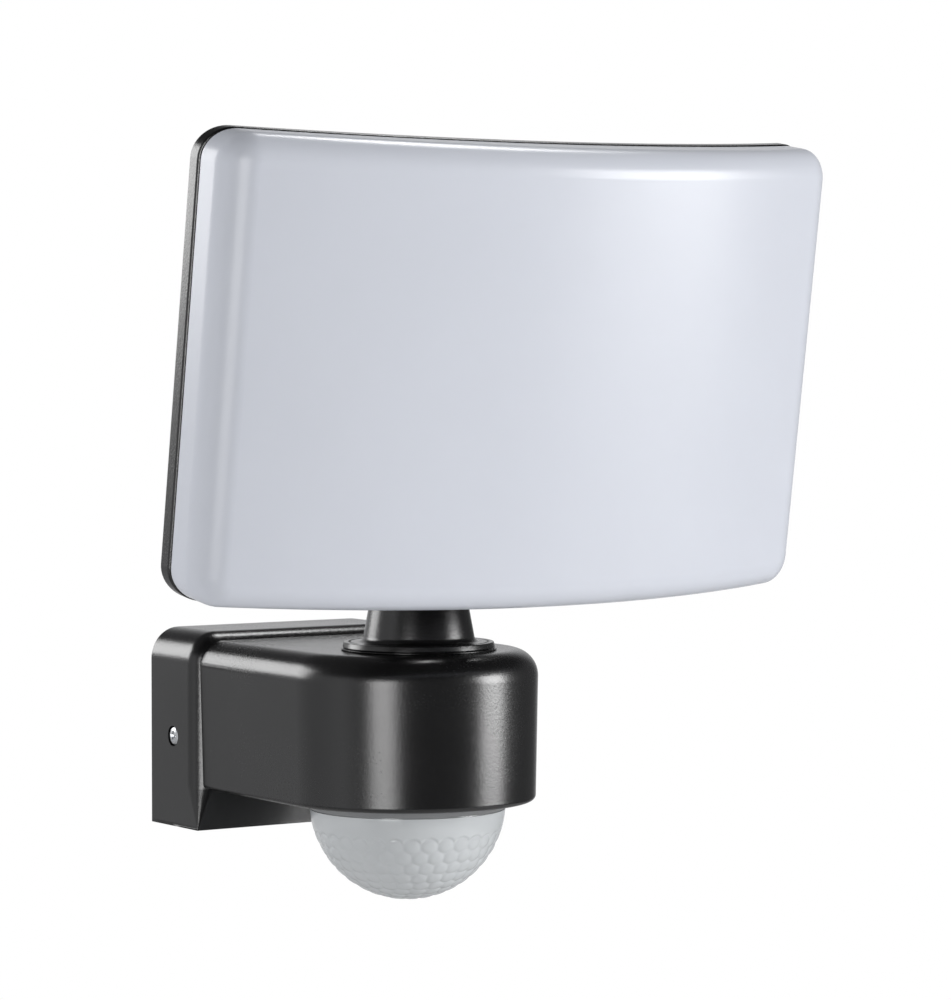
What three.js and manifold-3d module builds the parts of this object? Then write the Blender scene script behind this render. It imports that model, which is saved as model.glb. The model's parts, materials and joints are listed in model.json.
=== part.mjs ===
// Wall floodlight with a motion sensor: a hollow wall arm, a swivelling neck and a curved light panel.
// Millimetres. X runs sideways, Y runs into the wall, Z runs up.
// The origin is the middle of the wall bracket's back face, which lies on the wall.

import * as THREE from 'three';
import { mergeVertices } from 'three/addons/utils/BufferGeometryUtils.js';
import Module from 'manifold-3d';

const wasm = await Module();
wasm.setup();

// ---------------------------------------------------------------- driving sizes

const GAP = 0.3;              // clearance left between neighbouring pieces
const WALL = 2.6;             // thickness of the cast arm walls

const BOX_WIDTH = 90.4;       // wall box
const BOX_HEIGHT = 66.5;
const BOX_DEPTH = 31.6;
const BOX_CORNER = 11;
const BOX_EDGE = 8;

const ARM_HALF = 43.1;        // arm and its half-round nose
const ARM_TOP = 30.3;
const ARM_BOTTOM = -19.6;
const ARM_TOP_EDGE = 9;
const ARM_BOTTOM_EDGE = 1.6;
const NOSE_Y = -91.5;

const NECK_Y = -98.4;         // swivel axis
const NECK_FLANGE = 25;
const NECK_BASE = 18.3;
const NECK_TOP = 14.7;
const NECK_SHOULDER_Z = 56;
const SHANK = 12;
const PIVOT_Z = 74;           // tilt axis
const KNUCKLE = 12.5;

const DOME_RADIUS = 32.35;    // sensor lens
const DOME_Z = -20.1;
const RING_BOTTOM = -22.1;

const PANEL_WIDTH = 228;      // light panel
const PANEL_HEIGHT = 145.2;
const PANEL_RADIUS = 290.9;
const PANEL_CORNER = 10.5;
const PANEL_DEPTH = 22.8;
const RIM_DEPTH = 5.2;
const DIFFUSER_EDGE = 8.9;
const PANEL_TILT = 8.72;      // degrees, top leaning forward
const PANEL_Y = -161.9;
const PANEL_Z = 121.55;

const DIALS = [
  { name: 'time', x: -20 },
  { name: 'lux', x: 0 },
  { name: 'range', x: 20 },
];
const DIAL_Y = -45;
const CLAMP_Y = -14.7;
const CLAMP_Z = -2.7;
const COVER_TOP = ARM_BOTTOM + 2.2;
const BOARD_Z = -14.1;        // underside of the control board

// ---------------------------------------------------------------- solids

function signedVolume(positions, triangles) {
  const [a, b, c] = [new THREE.Vector3(), new THREE.Vector3(), new THREE.Vector3()];
  let total = 0;
  for (let i = 0; i < triangles.length; i += 3) {
    a.fromArray(positions, 3 * triangles[i]);
    b.fromArray(positions, 3 * triangles[i + 1]);
    c.fromArray(positions, 3 * triangles[i + 2]);
    total += a.dot(b.cross(c));
  }
  return total / 6;
}

function solid(geometry) {
  const bare = geometry.clone();
  bare.deleteAttribute('normal');
  bare.deleteAttribute('uv');
  const merged = mergeVertices(bare, 1e-4);
  const positions = new Float32Array(merged.attributes.position.array);
  const kept = [];
  const index = merged.index.array;
  for (let i = 0; i < index.length; i += 3) {
    const [a, b, c] = [index[i], index[i + 1], index[i + 2]];
    if (a !== b && b !== c && c !== a) {
      kept.push(a, b, c);
    }
  }
  if (signedVolume(positions, kept) < 0) {
    for (let i = 0; i < kept.length; i += 3) {
      [kept[i], kept[i + 1]] = [kept[i + 1], kept[i]];
    }
  }
  return new wasm.Manifold(new wasm.Mesh({
    numProp: 3,
    vertProperties: positions,
    triVerts: new Uint32Array(kept),
  }));
}

function geometryOf(body) {
  const mesh = body.getMesh();
  const geometry = new THREE.BufferGeometry();
  geometry.setAttribute('position', new THREE.BufferAttribute(new Float32Array(mesh.vertProperties), 3));
  geometry.setIndex(new THREE.BufferAttribute(new Uint32Array(mesh.triVerts), 1));
  geometry.computeVertexNormals();
  return geometry;
}

function join(first, ...others) {
  return others.reduce((sum, other) => sum.add(other), first);
}

function cut(first, ...tools) {
  return tools.reduce((rest, tool) => rest.subtract(tool), first);
}

function box(x0, x1, y0, y1, z0, z1) {
  const geometry = new THREE.BoxGeometry(x1 - x0, y1 - y0, z1 - z0);
  geometry.translate((x0 + x1) / 2, (y0 + y1) / 2, (z0 + z1) / 2);
  return solid(geometry);
}

// A round body about the Z axis from closed [radius, height] points.
function turned(profile, segments = 36) {
  const points = profile.map(([radius, height]) => new THREE.Vector2(Math.max(radius, 0), height));
  if (profile[0][0] > 1e-6) {
    points.push(points[0].clone());
  }
  const geometry = new THREE.LatheGeometry(points, segments);
  geometry.rotateX(Math.PI / 2);
  return geometry;
}

function cylinderBetween(start, end, radius, segments = 16) {
  const from = new THREE.Vector3(...start);
  const along = new THREE.Vector3(...end).sub(from);
  const geometry = new THREE.CylinderGeometry(radius, radius, along.length(), segments);
  const up = new THREE.Vector3(0, 1, 0);
  geometry.applyQuaternion(new THREE.Quaternion().setFromUnitVectors(up, along.clone().normalize()));
  geometry.translate(from.x + along.x / 2, from.y + along.y / 2, from.z + along.z / 2);
  return solid(geometry);
}

function upright(x, y, z0, z1, radius, segments = 16) {
  return cylinderBetween([x, y, z0], [x, y, z1], radius, segments);
}

function roundedShape(width, height, radius) {
  const [w, h] = [width / 2, height / 2];
  const shape = new THREE.Shape();
  shape.moveTo(-w + radius, -h);
  shape.lineTo(w - radius, -h);
  shape.absarc(w - radius, -h + radius, radius, -Math.PI / 2, 0);
  shape.lineTo(w, h - radius);
  shape.absarc(w - radius, h - radius, radius, 0, Math.PI / 2);
  shape.lineTo(-w + radius, h);
  shape.absarc(-w + radius, h - radius, radius, Math.PI / 2, Math.PI);
  shape.lineTo(-w, -h + radius);
  shape.absarc(-w + radius, -h + radius, radius, Math.PI, 1.5 * Math.PI);
  return shape;
}

// A rounded plate lying flat, between two heights.
function plate(width, depth, radius, x, y, z0, z1) {
  const shape = roundedShape(width, depth, radius);
  const options = { depth: z1 - z0, bevelEnabled: false, curveSegments: 3 };
  const geometry = new THREE.ExtrudeGeometry(shape, options);
  geometry.translate(x, y, z0);
  return solid(geometry);
}

// A rounded plate standing parallel to the wall, between two distances from it.
function wallPlate(width, height, radius, x, z, yFront, yBack) {
  const shape = roundedShape(width, height, radius);
  const depth = yBack - yFront;
  const geometry = new THREE.ExtrudeGeometry(shape, { depth, bevelEnabled: false, curveSegments: 3 });
  geometry.rotateX(Math.PI / 2);
  geometry.translate(x, yBack, z);
  return solid(geometry);
}

// Joins rings of points, all with the same count, into one closed body.
// The end rings are flat or follow the panel, so `cap` gives their triangles.
function loft(rings, cap) {
  const count = rings[0].length;
  const positions = rings.flat().flatMap((point) => [point.x, point.y, point.z]);
  const index = [];
  for (let k = 0; k + 1 < rings.length; k += 1) {
    for (let i = 0; i < count; i += 1) {
      const j = (i + 1) % count;
      const [a, b] = [k * count + i, k * count + j];
      index.push(a, b, b + count, a, b + count, a + count);
    }
  }
  const last = (rings.length - 1) * count;
  for (const [a, b, c] of cap) {
    index.push(a, c, b, last + a, last + b, last + c);
  }
  const geometry = new THREE.BufferGeometry();
  geometry.setAttribute('position', new THREE.Float32BufferAttribute(positions, 3));
  geometry.setIndex(index);
  return solid(geometry);
}

function flatCap(outline) {
  return THREE.ShapeUtils.triangulateShape(outline, []);
}

// Insets and offsets that step round a quarter circle, ready for a moulded edge.
function edgeSteps(radius, steps) {
  return Array.from({ length: steps + 1 }, (_, k) => {
    const angle = (k / steps) * Math.PI / 2;
    return { inset: radius * (1 - Math.cos(angle)), back: radius * (1 - Math.sin(angle)) };
  });
}

function tube(points, radius, segments = 12) {
  const curve = new THREE.CatmullRomCurve3(points.map((point) => new THREE.Vector3(...point)));
  const shape = new THREE.Shape().absarc(0, 0, radius, 0, 2 * Math.PI);
  const geometry = new THREE.ExtrudeGeometry(shape, {
    steps: segments,
    curveSegments: 4,
    bevelEnabled: false,
    extrudePath: curve,
  });
  return solid(geometry);
}

// A pan-head screw pointing along +Z, its head from z = 0 to z = -height.
function screwBody(headRadius, headHeight, shaftRadius, length) {
  const dome = Array.from({ length: 3 }, (_, k) => {
    const angle = (k / 2) * Math.PI / 2;
    return [headRadius * Math.sin(angle), -headHeight + headHeight * 0.45 * (1 - Math.cos(angle))];
  });
  const profile = [...dome, [headRadius, 0], [shaftRadius, 0], [shaftRadius, length - 0.5]];
  profile.push([shaftRadius - 0.5, length], [0, length]);
  const slot = headRadius * 0.62;
  const deep = headHeight * 0.55;
  return cut(
    solid(turned(profile, 10)),
    box(-slot, slot, -0.28, 0.28, -headHeight - 1, -headHeight + deep),
    box(-0.28, 0.28, -slot, slot, -headHeight - 1, -headHeight + deep),
  );
}

function screw(headRadius, headHeight, shaftRadius, length, place) {
  const geometry = geometryOf(screwBody(headRadius, headHeight, shaftRadius, length));
  geometry.applyMatrix4(place);
  return solid(geometry);
}

function placed(x, y, z, turnX = 0, turnY = 0) {
  const turn = new THREE.Euler(turnX, turnY, 0);
  return new THREE.Matrix4().makeRotationFromEuler(turn).setPosition(x, y, z);
}

const TO_FRONT = Math.PI / 2;
const DOWN = Math.PI;

// ---------------------------------------------------------------- scene tree

const lamp = new THREE.Group();
lamp.name = 'wall_floodlight';

const LOOKS = {
  blackCasting: { color: '#17181a', roughness: 0.48, metalness: 0.25 },
  blackPlastic: { color: '#1b1c1e', roughness: 0.6, metalness: 0 },
  rubber: { color: '#101112', roughness: 0.85, metalness: 0 },
  opal: { color: '#e9ecf2', roughness: 0.22, metalness: 0 },
  lens: { color: '#c4c7c9', roughness: 0.35, metalness: 0 },
  greyPlastic: { color: '#6d7073', roughness: 0.5, metalness: 0 },
  steel: { color: '#b9bcc0', roughness: 0.3, metalness: 1 },
  board: { color: '#1f5a37', roughness: 0.55, metalness: 0 },
  whiteBoard: { color: '#dfe2e0', roughness: 0.5, metalness: 0 },
  emitter: { color: '#e6c74f', roughness: 0.5, metalness: 0 },
  terminal: { color: '#d8d5c8', roughness: 0.55, metalness: 0 },
  relay: { color: '#2a4f86', roughness: 0.45, metalness: 0 },
  film: { color: '#8c2f22', roughness: 0.45, metalness: 0 },
  brass: { color: '#b79549', roughness: 0.35, metalness: 1 },
};

function add(name, body, look, parent = lamp) {
  const mesh = new THREE.Mesh(geometryOf(body), new THREE.MeshStandardMaterial(LOOKS[look]));
  mesh.name = name;
  parent.add(mesh);
}

// ---------------------------------------------------------------- arm housing

// The wall box outline, seen from the front: round top corners, square bottom corners.
function boxOutline(inset) {
  const [w, top, bottom] = [BOX_WIDTH / 2 - inset, BOX_HEIGHT / 2 - inset, -BOX_HEIGHT / 2];
  const radius = Math.max(BOX_CORNER - inset, 1);
  const points = [new THREE.Vector2(-w, bottom), new THREE.Vector2(w, bottom)];
  for (let side = 0; side < 2; side += 1) {
    for (let k = 0; k <= 6; k += 1) {
      const angle = (side + k / 6) * Math.PI / 2;
      const centre = side === 0 ? w - radius : -w + radius;
      points.push(new THREE.Vector2(centre + radius * Math.cos(angle), top - radius + radius * Math.sin(angle)));
    }
  }
  return points;
}

function boxBody(inset, yBack, yFront, edge) {
  const outline = boxOutline(inset);
  const rings = [outline.map((point) => new THREE.Vector3(point.x, yBack, point.y))];
  for (const step of edgeSteps(edge, 4)) {
    const ring = boxOutline(inset + step.inset);
    rings.push(ring.map((point) => new THREE.Vector3(point.x, yFront + step.back, point.y)));
  }
  return loft(rings, flatCap(outline));
}

// The arm outline, seen from above: parallel sides and a half-round nose.
function armOutline(inset, yRoot) {
  const radius = ARM_HALF - inset;
  const points = [new THREE.Vector2(radius, yRoot), new THREE.Vector2(-radius, yRoot)];
  for (let k = 0; k <= 24; k += 1) {
    const angle = Math.PI + (k / 24) * Math.PI;
    points.push(new THREE.Vector2(radius * Math.cos(angle), NOSE_Y + radius * Math.sin(angle)));
  }
  return points;
}

function armBody(inset, yRoot, zBottom, zTop, bottomEdge, topEdge) {
  const rings = [];
  const put = (extra, z) => {
    rings.push(armOutline(inset + extra, yRoot).map((point) => new THREE.Vector3(point.x, point.y, z)));
  };
  for (const step of edgeSteps(bottomEdge, 2).reverse()) {
    put(step.inset, zBottom + step.back);
  }
  for (const step of edgeSteps(topEdge, 4)) {
    put(step.inset, zTop - step.back);
  }
  return loft(rings, flatCap(armOutline(inset, yRoot)));
}

const COVER_SCREWS = [-1, 1].map((side) => ({ x: side * 34.6, y: -60, name: side < 0 ? 'left' : 'right' }));
const BOARD_POSTS = [-1, 1].map((side) => ({ x: side * 27, y: -40, name: side < 0 ? 'left' : 'right' }));
const RELAY_BOARD_TOP = 5.7;

function baseHousing() {
  const outer = join(
    boxBody(0, 0, -BOX_DEPTH, BOX_EDGE),
    armBody(0, -12, ARM_BOTTOM, ARM_TOP, ARM_BOTTOM_EDGE, ARM_TOP_EDGE),
  );
  const roof = ARM_TOP - WALL;
  const armRoom = armBody(WALL, -BOX_DEPTH - 0.2, ARM_BOTTOM - 4, roof, 0.4, 6);
  const boxRoom = cut(
    boxBody(WALL, 1, -BOX_DEPTH + WALL, BOX_EDGE - WALL),
    box(-60, 60, -60, 5, -BOX_HEIGHT, -BOX_HEIGHT / 2 + WALL),
  );
  let body = cut(outer, boxRoom, armRoom);
  body = cut(body, box(-36, 36, -36, -24, -14, 24));
  body = join(body, upright(0, NECK_Y, roof - 3.6, roof + 1, 21, 28));
  for (const post of COVER_SCREWS) {
    body = join(body, upright(post.x, post.y, COVER_TOP + GAP, roof + 1, 3.6));
    body = cut(body, upright(post.x, post.y, COVER_TOP - 1, COVER_TOP + 13, 1.8));
  }
  for (const post of BOARD_POSTS) {
    body = join(body, upright(post.x, post.y, RELAY_BOARD_TOP + GAP, roof + 1, 3.4));
    body = cut(body, upright(post.x, post.y, RELAY_BOARD_TOP - 1, RELAY_BOARD_TOP + 9, 1.6));
  }
  body = cut(
    body,
    upright(0, NECK_Y, roof - 8, ARM_TOP + 3, SHANK + GAP, 32),
    upright(0, NECK_Y, roof, ARM_TOP + 3, 15.7, 32),
  );
  for (const side of [-1, 1]) {
    const edge = side * BOX_WIDTH / 2;
    body = cut(
      body,
      cylinderBetween([edge - side * 1.6, CLAMP_Y, CLAMP_Z], [edge + side * 3, CLAMP_Y, CLAMP_Z], 3.5),
      cylinderBetween([edge - side * 6, CLAMP_Y, CLAMP_Z], [edge + side * 3, CLAMP_Y, CLAMP_Z], 1.8),
    );
  }
  return body;
}

add('base_housing', baseHousing(), 'blackCasting');

for (const side of [-1, 1]) {
  const place = placed(side * (BOX_WIDTH / 2 - 1.6 + GAP), CLAMP_Y, CLAMP_Z, 0, -side * Math.PI / 2);
  add(`clamp_screw_${side < 0 ? 'left' : 'right'}`, screw(3, 1.4, 1.5, 8.5, place), 'steel');
}

// ---------------------------------------------------------------- wall bracket

const BRACKET_THICK = 2.5;
const ENTRY_Z = 12;
const ENTRY_RADIUS = 8;

function wallBracket() {
  let body = wallPlate(80, 58, 5, 0, 0, -BRACKET_THICK, 0);
  for (const side of [-1, 1]) {
    const [inner, outer] = [39.6, 41.8].map((x) => side * x);
    const [x0, x1] = [Math.min(inner, outer), Math.max(inner, outer)];
    body = join(body, box(x0, x1, -21, 0, CLAMP_Z - 9, CLAMP_Z + 9));
    const [left, right] = [Math.min(side * 38, x1), Math.max(side * 38, x0)];
    body = join(body, box(left, right, -BRACKET_THICK, 0, CLAMP_Z - 9, CLAMP_Z + 9));
    body = cut(body, cylinderBetween([side * 36, CLAMP_Y, CLAMP_Z], [side * 46, CLAMP_Y, CLAMP_Z], 1.8));
    body = cut(body, wallPlate(5, 13, 2.4, side * 27, 16, -5, 3));
    body = cut(body, wallPlate(13, 5, 2.4, side * 26, -19, -5, 3));
  }
  return cut(body, cylinderBetween([0, -5, ENTRY_Z], [0, 3, ENTRY_Z], ENTRY_RADIUS, 28));
}

add('wall_bracket', wallBracket(), 'steel');

// The grommet sits in the bracket from the inside and ends flush with the wall side.
function cableGrommet() {
  const profile = [
    [4, 0], [ENTRY_RADIUS - GAP, 0], [ENTRY_RADIUS - GAP, BRACKET_THICK + GAP],
    [10, BRACKET_THICK + GAP], [10, BRACKET_THICK + 1.8], [6.5, BRACKET_THICK + 4.5], [4, BRACKET_THICK + 4.5],
  ];
  const geometry = turned(profile, 28);
  geometry.rotateX(Math.PI / 2);
  geometry.translate(0, 0, ENTRY_Z);
  return solid(geometry);
}

add('cable_grommet', cableGrommet(), 'rubber');

// ---------------------------------------------------------------- terminal block

const TERMINALS = [{ name: 'live', x: -9 }, { name: 'neutral', x: 0 }, { name: 'earth', x: 9 }];

function terminalBlock() {
  let body = box(-15, 15, -17, -BRACKET_THICK - GAP, -24, -10);
  for (const terminal of TERMINALS) {
    body = cut(
      body,
      cylinderBetween([terminal.x, -12, -17], [terminal.x, -20, -17], 2.7),
      upright(terminal.x, -8, -14, -8, 1.8),
    );
  }
  return body;
}

add('terminal_block', terminalBlock(), 'terminal');
for (const terminal of TERMINALS) {
  const barrel = cylinderBetween([terminal.x, -12.3, -17], [terminal.x, -16.6, -17], 2.4);
  const slot = box(terminal.x - 3, terminal.x + 3, -18, -15.6, -17.4, -16.6);
  add(`terminal_screw_${terminal.name}`, cut(barrel, slot), 'brass');
}

// ---------------------------------------------------------------- under cover

const CONTROL_POSTS = [-1, 1].map((side) => ({ x: side * 34.9, y: NOSE_Y, name: side < 0 ? 'left' : 'right' }));
const COLLAR = 31;

function underCover() {
  const yRoot = -BOX_DEPTH - 0.2 - GAP;
  const outline = armOutline(WALL + GAP, yRoot);
  const rings = [ARM_BOTTOM, COVER_TOP].map((z) => outline.map((point) => new THREE.Vector3(point.x, point.y, z)));
  let body = loft(rings, flatCap(outline));
  for (const post of CONTROL_POSTS) {
    body = join(body, upright(post.x, post.y, COVER_TOP - 0.5, BOARD_Z - GAP, 2.4));
    body = cut(body, upright(post.x, post.y, COVER_TOP - 1, BOARD_Z, 1.2));
  }
  for (const x of [-26, 26]) {
    body = join(body, upright(x, -54, COVER_TOP - 0.5, BOARD_Z - GAP, 2.4));
  }
  body = cut(body, upright(0, NOSE_Y, ARM_BOTTOM - 1, COVER_TOP + 1, COLLAR + GAP, 36));
  for (const dial of DIALS) {
    body = cut(body, upright(dial.x, DIAL_Y, ARM_BOTTOM - 1, COVER_TOP + 1, 5.3, 20));
  }
  for (const post of COVER_SCREWS) {
    body = cut(
      body,
      upright(post.x, post.y, ARM_BOTTOM - 1, COVER_TOP + 1, 1.8),
      upright(post.x, post.y, ARM_BOTTOM - 1, ARM_BOTTOM + 1.2, 3.4),
    );
  }
  return body;
}

add('under_cover', underCover(), 'blackPlastic');
for (const post of COVER_SCREWS) {
  const place = placed(post.x, post.y, ARM_BOTTOM + 1.2 - GAP);
  add(`cover_screw_${post.name}`, screw(3, 1.1, 1.5, 11, place), 'steel');
}

// ---------------------------------------------------------------- sensor and controls

function controlBoard() {
  let body = join(
    upright(0, NOSE_Y, BOARD_Z, BOARD_Z + 1.6, 37.3, 32),
    box(-30, 30, -70, -36, BOARD_Z, BOARD_Z + 1.6),
  );
  for (const post of CONTROL_POSTS) {
    body = cut(body, upright(post.x, post.y, BOARD_Z - 1, BOARD_Z + 3, 1.2));
  }
  for (const dial of DIALS) {
    body = cut(body, upright(dial.x, DIAL_Y, BOARD_Z - 1, BOARD_Z + 3, 2.1));
  }
  return body;
}

add('control_board', controlBoard(), 'board');
for (const post of CONTROL_POSTS) {
  const place = placed(post.x, post.y, BOARD_Z + 1.6 + GAP, DOWN);
  add(`control_screw_${post.name}`, screw(2, 1.2, 0.9, 4, place), 'steel');
}

const canTop = BOARD_Z - GAP;
const can = turned([
  [0, canTop], [5, canTop], [5, canTop - 0.6], [4.5, canTop - 0.6], [4.5, canTop - 4.2], [0, canTop - 4.2],
], 20);
can.translate(0, NOSE_Y, 0);
add('motion_sensor', solid(can), 'steel');

const photocell = turned([[0, canTop], [2.5, canTop], [2.5, canTop - 1.8], [0, canTop - 2.2]], 14);
photocell.translate(14, NOSE_Y + 12, 0);
add('light_sensor', solid(photocell), 'terminal');

const ring = turned([
  [COLLAR + 0.4, ARM_BOTTOM - GAP], [33, ARM_BOTTOM - GAP], [32.6, RING_BOTTOM], [COLLAR + 0.4, RING_BOTTOM],
], 40);
ring.translate(0, NOSE_Y, 0);
add('sensor_ring', solid(ring), 'greyPlastic');

// The lens is a thin hemisphere with a collar that snaps into the under cover.
function sensorDome() {
  const arc = (radius, height, steps) => {
    const start = Math.asin((DOME_Z - height) / radius);
    return Array.from({ length: steps + 1 }, (_, k) => {
      const angle = start + (k / steps) * (Math.PI / 2 - start);
      return [radius * Math.cos(angle), DOME_Z - radius * Math.sin(angle)];
    });
  };
  const top = BOARD_Z - 0.5;
  const outside = arc(DOME_RADIUS, RING_BOTTOM - GAP, 9).reverse();
  const collar = [
    [COLLAR, RING_BOTTOM - GAP], [COLLAR, COVER_TOP + 0.3], [COLLAR + 0.9, COVER_TOP + 0.6],
    [COLLAR + 0.9, COVER_TOP + 1.2], [COLLAR, top], [COLLAR - 1, top],
  ];
  const inside = arc(DOME_RADIUS - 1, RING_BOTTOM - 2.5, 6);
  const profile = [...outside, ...collar, [COLLAR - 1, RING_BOTTOM - 1.2], ...inside];
  const geometry = turned(profile, 32);
  geometry.translate(0, NOSE_Y, 0);
  return solid(geometry);
}

add('sensor_dome', sensorDome(), 'lens');

for (const dial of DIALS) {
  const potBottom = BOARD_Z + 1.6 + GAP;
  const pot = cut(
    box(dial.x - 4.8, dial.x + 4.8, DIAL_Y - 5.5, DIAL_Y + 5.5, potBottom, potBottom + 4.7),
    upright(dial.x, DIAL_Y, potBottom - 1, potBottom + 3.6, 2.1),
  );
  add(`${dial.name}_pot`, pot, 'relay');

  const face = ARM_BOTTOM - 1.6;
  const profile = [
    [0, face], [4.4, face], [4.9, face + 0.5], [4.9, face + 3],
    [1.5, face + 3], [1.5, potBottom + 3], [0, potBottom + 3],
  ];
  const knob = turned(profile, 20);
  knob.translate(dial.x, DIAL_Y, 0);
  const slot = box(dial.x - 3.4, dial.x + 3.4, DIAL_Y - 0.6, DIAL_Y + 0.6, face - 1, face + 1);
  const pointer = box(dial.x - 0.4, dial.x + 0.4, DIAL_Y - 6, DIAL_Y - 3.9, face - 1, face + 1);
  add(`${dial.name}_dial`, cut(solid(knob), slot, pointer), 'greyPlastic');
}

// ---------------------------------------------------------------- relay board

function relayBoard() {
  let body = box(-30.4, 30.4, -74, -34.2, RELAY_BOARD_TOP - 1.6, RELAY_BOARD_TOP);
  for (const post of BOARD_POSTS) {
    body = cut(body, upright(post.x, post.y, RELAY_BOARD_TOP - 3, RELAY_BOARD_TOP + 1, 1.6));
  }
  return body;
}

const relayUnder = RELAY_BOARD_TOP - 1.6 - GAP;
add('relay_board', relayBoard(), 'board');
for (const post of BOARD_POSTS) {
  add(`relay_screw_${post.name}`, screw(2.6, 1.4, 1.3, 8, placed(post.x, post.y, relayUnder)), 'steel');
}
add('relay', plate(18, 18, 1.5, -20, -63, relayUnder - 14, relayUnder), 'relay');
add('mains_capacitor', plate(22, 9, 1.2, 18, -64, relayUnder - 11, relayUnder), 'film');

add('lead_mains', tube([
  [4, -9, -9.2], [4, -9.6, -4.5], [4, -15, 0.4], [4, -28, 1.2], [4, -42, 1.2],
], 2.3), 'rubber');
add('lead_base', tube([
  [2, -58, 1.5], [2, -74, 1.5], [1, -90, 2.5], [0, NECK_Y, 7], [0, NECK_Y, 13.3],
], 1.9), 'rubber');

// ---------------------------------------------------------------- swivel and neck

const SHANK_END = 14;
const SEAT_TOP = ARM_TOP + 0.65;
const FLANGE_TOP = 33;

const seat = turned([
  [SHANK + 0.4, ARM_TOP + GAP], [25.5, ARM_TOP + GAP],
  [25.5, SEAT_TOP - 0.2], [25.3, SEAT_TOP], [SHANK + 0.4, SEAT_TOP],
], 40);
seat.translate(0, NECK_Y, 0);
add('swivel_seat', solid(seat), 'blackPlastic');

const seal = new THREE.TorusGeometry(13.95, 1.15, 6, 24);
seal.translate(0, NECK_Y, 29.05);
add('swivel_seal', solid(seal), 'rubber');

const LEAD_X = 6.5;
const LEAD_FORWARD = 7.8;

function neck() {
  const shoulder = Array.from({ length: 3 }, (_, k) => {
    const angle = (k / 2) * Math.PI / 2;
    return [NECK_TOP - 2.5 + 2.5 * Math.cos(angle), NECK_SHOULDER_Z - 2.5 + 2.5 * Math.sin(angle)];
  });
  const foot = Array.from({ length: 4 }, (_, k) => {
    const angle = (k / 3) * Math.PI / 2;
    return [NECK_BASE + 1.5 * (1 - Math.sin(angle)), FLANGE_TOP + 1.5 * (1 - Math.cos(angle))];
  });
  const profile = [
    [0, SHANK_END], [SHANK - 0.6, SHANK_END], [SHANK, SHANK_END + 0.6], [SHANK, SEAT_TOP + GAP],
    [NECK_FLANGE, SEAT_TOP + GAP], [NECK_FLANGE - 0.3, FLANGE_TOP - 0.3], [NECK_FLANGE - 0.6, FLANGE_TOP],
    [23.3, FLANGE_TOP], [23.3, FLANGE_TOP - 0.5], [22.5, FLANGE_TOP - 0.5], [22.5, FLANGE_TOP],
    ...foot, ...shoulder, [0, NECK_SHOULDER_Z],
  ];
  const column = turned(profile, 40);
  column.translate(0, NECK_Y, 0);
  const knuckle = join(
    box(-10.5, 2.5, NECK_Y - 10, NECK_Y + 10, NECK_SHOULDER_Z - 2, PIVOT_Z),
    cylinderBetween([-10.5, NECK_Y, PIVOT_Z], [2.5, NECK_Y, PIVOT_Z], KNUCKLE, 28),
  );
  return cut(
    join(solid(column), knuckle),
    cylinderBetween([-12, NECK_Y, PIVOT_Z], [4, NECK_Y, PIVOT_Z], 3.3),
    cylinderBetween([0, NECK_Y, 12], [LEAD_X, NECK_Y - LEAD_FORWARD, 57.5], 2.6),
  );
}

add('neck', neck(), 'blackCasting');
const washer = turned([[SHANK + 0.4, 22.3], [17.5, 22.3], [17.5, 23.7], [SHANK + 0.4, 23.7]], 32);
washer.translate(0, NECK_Y, 0);
add('swivel_washer', solid(washer), 'steel');
add('swivel_nut', cut(upright(0, NECK_Y, 16, 22, 17.3, 6), upright(0, NECK_Y, 10, 25, SHANK + GAP, 32)), 'brass');
add('lead_neck', tube([
  [0, NECK_Y, 14.3], [LEAD_X * 0.45, NECK_Y - LEAD_FORWARD * 0.45, 33.8],
  [LEAD_X, NECK_Y - LEAD_FORWARD, 57.5], [LEAD_X, NECK_Y - LEAD_FORWARD, 70.6],
], 1.9), 'rubber');
add('knuckle_spacer', cut(
  cylinderBetween([2.8, NECK_Y, PIVOT_Z], [11, NECK_Y, PIVOT_Z], 5.3),
  cylinderBetween([2, NECK_Y, PIVOT_Z], [12, NECK_Y, PIVOT_Z], 3.3),
), 'steel');

// ---------------------------------------------------------------- light panel

// The panel is drawn upright about its own rear centre, then leaned and carried out to its place.
const lean = new THREE.Matrix4().makeRotationX(THREE.MathUtils.degToRad(PANEL_TILT));
lean.setPosition(0, PANEL_Y, PANEL_Z);
const pivot = new THREE.Vector3(0, NECK_Y, PIVOT_Z).applyMatrix4(lean.clone().invert());

function addLeaning(name, body, look) {
  const geometry = geometryOf(body);
  geometry.applyMatrix4(lean);
  add(name, solid(geometry), look);
}

const rearY = (x) => PANEL_RADIUS - Math.sqrt(PANEL_RADIUS ** 2 - x ** 2);
const frontY = (x) => rearY(x) - PANEL_DEPTH;

// One ring of the panel outline: along the top from left to right, then back along the bottom.
function panelRing(inset, height) {
  const [w, h] = [PANEL_WIDTH / 2 - inset, PANEL_HEIGHT / 2 - inset];
  const radius = Math.max(PANEL_CORNER - inset, 0.8);
  const half = [];
  for (let k = 0; k <= 5; k += 1) {
    const angle = (k / 5) * Math.PI / 2;
    half.push([-w + radius * (1 - Math.cos(angle)), h - radius * (1 - Math.sin(angle))]);
  }
  const flat = w - radius;
  const columns = [...half];
  for (let k = 1; k < 12; k += 1) {
    columns.push([-flat + (2 * flat * k) / 12, h]);
  }
  columns.push(...half.map(([x, z]) => [-x, z]).reverse());
  const top = columns.map(([x, z]) => new THREE.Vector3(x, height(x), z));
  const bottom = columns.map(([x, z]) => new THREE.Vector3(x, height(x), -z)).reverse();
  return [...top, ...bottom];
}

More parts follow.
